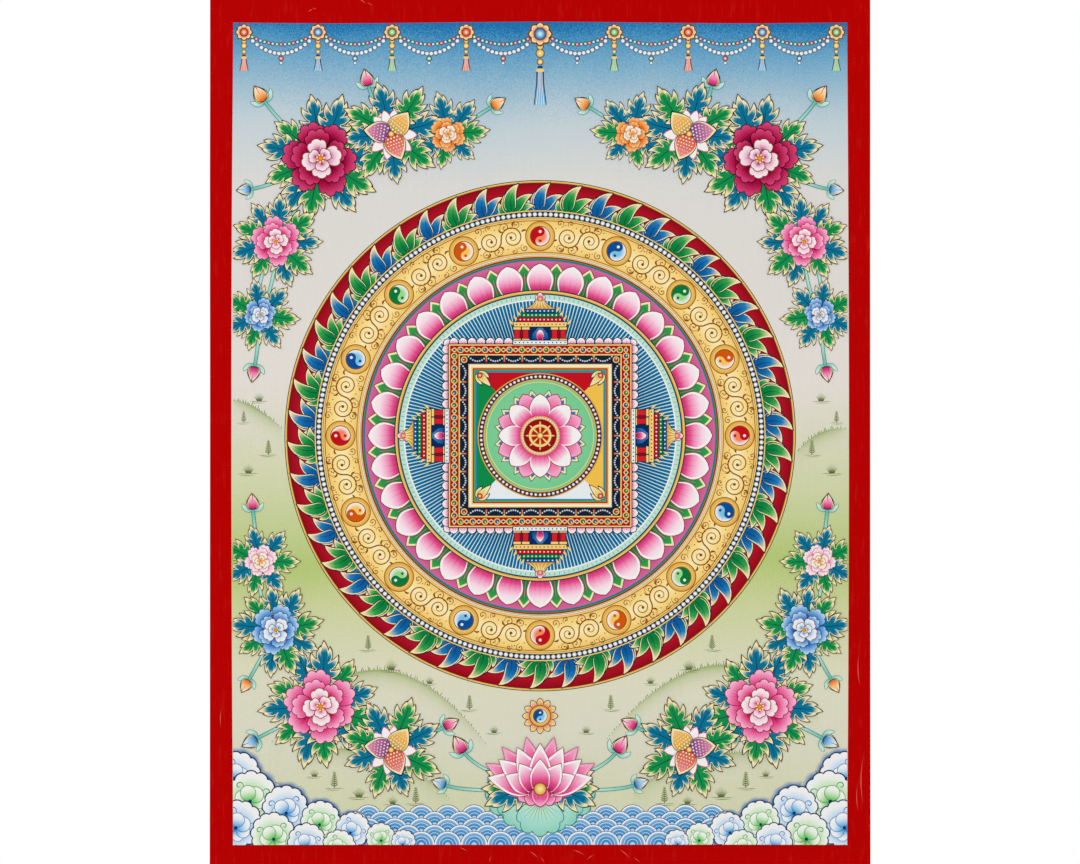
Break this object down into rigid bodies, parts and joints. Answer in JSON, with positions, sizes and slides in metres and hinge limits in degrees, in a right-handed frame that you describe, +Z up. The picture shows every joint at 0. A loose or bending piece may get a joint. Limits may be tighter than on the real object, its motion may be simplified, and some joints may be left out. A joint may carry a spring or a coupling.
{
  "type": "unmounted thangka painting on cotton canvas",
  "caption": "Hanging thangka: one thin cotton canvas, painted on its front with a red border round a lotus mandala, hanging nearly flat from its top edge.",
  "frame": {"origin": "middle of the canvas's top edge, where it is held", "axes": "+Z up along the hanging canvas, +X to the right seen from the front, and the painted side faces -Y"},
  "size_m": [0.43, 0.0052, 0.5655],
  "materials": {
    "painted_cotton": "matt glue-bound pigment on primed plain-weave cotton"
  },
  "bodies": {
    "root": {"canvas": "painted_cotton"}
  },
  "joints": []
}
